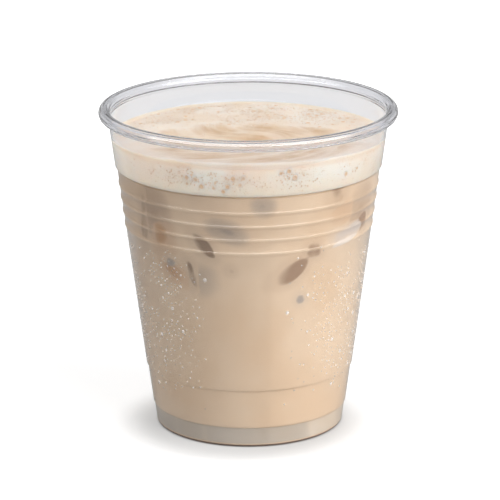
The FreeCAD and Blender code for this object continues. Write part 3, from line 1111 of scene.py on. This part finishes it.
# Painted shadow: the table's glow is dimmed round the foot, centred a little to the left and the front, and
# cut to nothing in a thin painted contact line at the foot.
painted_shadow_shift = (0.0022, 0.0046, 0.0)
painted_contact_line_range = (foot_radius + 0.0002, foot_radius + 0.0014)
floor_painted_shadow_range = (foot_radius - 0.0005, foot_radius * 1.50, table_glow_near, table_glow_beyond)
far_range = (0.15, 0.60, 0.0, table_glow_far - table_glow_beyond)
# Light from all round: from the left to the right, and added from behind
light_across = (-1.0, -0.35, 1.85, 0.56)
light_behind = (0.45, 0.95, 0.0, 0.42)
# What clear pieces show: walls with a grey gap, and in mirrors a bright panel over the front
wall_white = 0.88
mirror_white = 0.56
mirror_panel = 4.4
gap_grey = 0.42


def seen_through_clear(tree, path):
    """1 for what the camera sees in or through clear pieces, and 0 for light on the way to a surface."""
    mirrored = number(tree, "MAXIMUM", path.outputs["Is Glossy Ray"], path.outputs["Is Transmission Ray"])
    straight = number(tree, "LESS_THAN", path.outputs["Diffuse Depth"], 0.5)
    return number(tree, "MULTIPLY", mirrored, straight)


def either(tree, share, first, second):
    """The first of two numbers where share is 0, and the second where it is 1."""
    return add(tree, "ShaderNodeMix", {0: share, 2: first, 3: second}, data_type="FLOAT").outputs[0]


def studio_floor():
    """The table. Its glow is dimmed round the foot in a painted shadow, deepest at the foot and lying a
    little to the left and to the front, over the shadow that the lamp casts.
    """
    mesh = bpy.data.meshes.new("table")
    corners = [(-1, -1), (1, -1), (1, 1), (-1, 1)]
    mesh.from_pydata([(x * table_half, y * table_half, 0) for x, y in corners], [], [(0, 1, 2, 3)])
    floor = bpy.data.objects.new("table", mesh)
    bpy.context.scene.collection.objects.link(floor)
    material = bpy.data.materials.new("white_table")
    material.use_nodes = True
    tree = material.node_tree
    tree.nodes.remove(tree.nodes["Principled BSDF"])
    path = add(tree, "ShaderNodeLightPath")
    pale = (table_white, table_white, table_white, 1.0)
    mirrored = (table_in_mirrors, table_in_mirrors, table_in_mirrors, 1.0)
    colour = blend_colours(tree, path.outputs["Is Glossy Ray"], pale, mirrored)
    matt = add(tree, "ShaderNodeBsdfDiffuse", {"Color": colour})
    place = add(tree, "ShaderNodeTexCoord").outputs["Object"]
    painted_contact_line = ramp(tree, length_of(tree, place), *painted_contact_line_range)
    away = length_of(tree, vector(tree, "ADD", place, painted_shadow_shift))
    glowing = number(tree, "ADD", ramp(tree, away, *floor_painted_shadow_range), ramp(tree, away, *far_range))
    seen = number(tree, "MULTIPLY", glowing, painted_contact_line)
    straight = number(tree, "MULTIPLY", path.outputs["Is Camera Ray"], seen)
    through = number(tree, "MULTIPLY", seen_through_clear(tree, path), path.outputs["Is Transmission Ray"])
    bent = number(tree, "MULTIPLY", number(tree, "MULTIPLY", through, table_glow_in_clear), painted_contact_line)
    glow = add(tree, "ShaderNodeEmission", {"Color": (1.0, 1.0, 1.0, 1.0)})
    join(tree, number(tree, "MAXIMUM", straight, bent), glow.inputs["Strength"])
    both = add(tree, "ShaderNodeAddShader", {0: matt.outputs[0], 1: glow.outputs[0]})
    join(tree, both.outputs[0], tree.nodes["Material Output"].inputs["Surface"])
    mesh.materials.append(material)


def studio_world():
    """White behind the cup, and pale grey all round. Clear pieces mirror bright walls with grey gaps."""
    world = bpy.data.worlds.new("studio")
    bpy.context.scene.world = world
    world.use_nodes = True
    tree = world.node_tree
    tree.nodes.clear()
    direction = add(tree, "ShaderNodeTexCoord").outputs["Generated"]
    split = add(tree, "ShaderNodeSeparateXYZ", {0: direction})
    across = ramp(tree, split.outputs["X"], *light_across)
    behind = ramp(tree, split.outputs["Y"], *light_behind)
    around = number(tree, "ADD", across, behind)
    gap_low = ramp(tree, split.outputs["Z"], 0.10, 0.18)
    gap_high = ramp(tree, split.outputs["Z"], 0.38, 0.32)
    gap = number(tree, "MULTIPLY", number(tree, "MULTIPLY", gap_low, gap_high), gap_grey)
    path = add(tree, "ShaderNodeLightPath")
    clear = seen_through_clear(tree, path)
    in_front = ramp(tree, split.outputs["Y"], 0.15, -0.15)
    over = number(tree, "MULTIPLY", ramp(tree, split.outputs["Z"], 0.36, 0.48), in_front)
    above = number(tree, "ADD", number(tree, "MULTIPLY", over, mirror_panel), mirror_white)
    walls = either(tree, path.outputs["Is Glossy Ray"], wall_white, above)
    light = either(tree, clear, around, number(tree, "SUBTRACT", walls, gap))
    level = either(tree, path.outputs["Is Camera Ray"], light, 1.0)
    back = add(tree, "ShaderNodeBackground", {"Color": (1.0, 1.0, 1.0, 1.0), "Strength": level})
    leave = add(tree, "ShaderNodeOutputWorld")
    join(tree, back.outputs[0], leave.inputs["Surface"])


def studio_lamp(name, turn, rise, distance, size, power):
    """A soft square lamp that looks at the middle of the cup."""
    data = bpy.data.lights.new(name, "AREA")
    data.size = size
    data.energy = power
    lamp = bpy.data.objects.new(name, data)
    bpy.context.scene.collection.objects.link(lamp)
    level = outward_from(turn) * math.cos(math.radians(rise))
    away = level + Vector((0.0, 0.0, math.sin(math.radians(rise))))
    target = Vector((0.0, 0.0, cup_height / 2))
    spin = away.to_track_quat("Z", "Y").to_matrix().to_4x4()
    lamp.matrix_world = Matrix.Translation(target + away * distance) @ spin
    lamp.visible_glossy = False


studio_floor()
studio_world()
studio_lamp("key", turn=52.0, rise=30.0, distance=1.0, size=0.9, power=7.4)
bpy.context.scene.view_settings.view_transform = "Standard"
